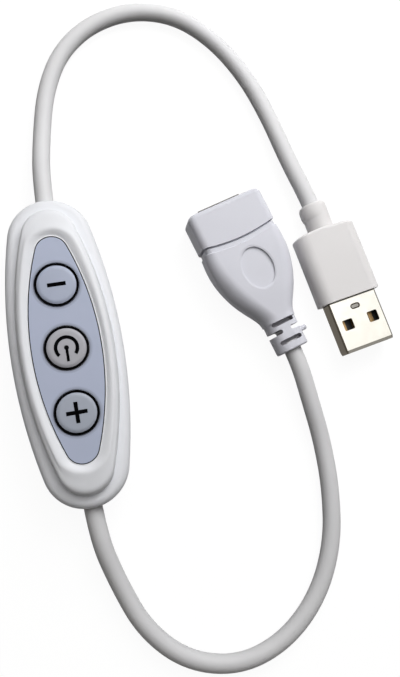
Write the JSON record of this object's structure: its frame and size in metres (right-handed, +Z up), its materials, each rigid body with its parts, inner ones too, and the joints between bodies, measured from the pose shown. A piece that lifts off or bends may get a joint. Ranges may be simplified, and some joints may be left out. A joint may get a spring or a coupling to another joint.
{
  "type": "usb inline dimmer",
  "caption": "Slim oval in-line dimmer on a short white lead, with minus, power and plus push buttons between a plug and a socket.",
  "frame": {"origin": "middle of the housing's flat underside", "axes": "+Y along the housing towards the minus button, +X to the right with the buttons facing up, +Z up out of the buttons"},
  "size_m": [0.0853, 0.1549, 0.0123],
  "materials": {
    "housing_plastic": "white moulded plastic with a soft satin gloss",
    "panel_plastic": "blue-grey satin plastic",
    "button_plastic": "paler grey satin plastic, lightly domed",
    "switch_plastic": "black moulded plastic",
    "cover_metal": "stamped sheet",
    "tinned_metal": "tinned sheet",
    "board_laminate": "green glass laminate",
    "package_plastic": "black moulded package",
    "ceramic": "tan ceramic",
    "solder": "bright solder",
    "red_wire": "red insulation",
    "black_wire": "black insulation",
    "clamp_plastic": "white nylon",
    "cable_jacket": "white soft jacket, satin",
    "plug_moulding": "white soft moulding, satin",
    "socket_moulding": "white soft moulding, satin",
    "plated_shell": "nickel-plated sheet",
    "tongue_plastic": "black moulded plastic",
    "socket_tongue_plastic": "white moulded plastic",
    "gold_contact": "gold-plated strip"
  },
  "bodies": {
    "housing": {"lower_shell": "housing_plastic", "upper_shell": "housing_plastic", "fascia_panel": "panel_plastic", "switch_leads": "tinned_metal", "circuit_board": "board_laminate", "controller_chip": "package_plastic", "controller_leads": "tinned_metal", "power_transistor": "package_plastic", "transistor_leads": "tinned_metal", "capacitors": "ceramic", "resistors": "package_plastic", "solder_joints": "solder", "input_wire_positive": "red_wire", "input_wire_negative": "black_wire", "output_wire_positive": "red_wire", "output_wire_negative": "black_wire", "input_cable_clamp": "clamp_plastic", "output_cable_clamp": "clamp_plastic", "input_cable": "cable_jacket", "output_cable": "cable_jacket", "plug_overmould": "plug_moulding", "plug_shell": "plated_shell", "plug_tongue": "tongue_plastic", "plug_contacts": "gold_contact", "socket_overmould": "socket_moulding", "socket_shell": "plated_shell", "socket_tongue": "socket_tongue_plastic", "socket_contacts": "gold_contact", "minus_switch_body": "switch_plastic", "minus_switch_cover": "cover_metal", "power_switch_body": "switch_plastic", "power_switch_cover": "cover_metal", "plus_switch_body": "switch_plastic", "plus_switch_cover": "cover_metal"},
    "minus_key": {"minus_button": "button_plastic", "minus_plunger": "switch_plastic"},
    "power_key": {"power_button": "button_plastic", "power_plunger": "switch_plastic"},
    "plus_key": {"plus_button": "button_plastic", "plus_plunger": "switch_plastic"}
  },
  "joints": [
    {"name": "minus_press", "type": "slide", "parent": "housing", "child": "minus_key", "axis": [0, 0, -1], "range_m": [0, 0.00035], "stiffness_N_per_m": 600, "springref_m": -0.0012},
    {"name": "power_press", "type": "slide", "parent": "housing", "child": "power_key", "axis": [0, 0, -1], "range_m": [0, 0.00035], "stiffness_N_per_m": 600, "springref_m": -0.0012},
    {"name": "plus_press", "type": "slide", "parent": "housing", "child": "plus_key", "axis": [0, 0, -1], "range_m": [0, 0.00035], "stiffness_N_per_m": 600, "springref_m": -0.0012}
  ]
}
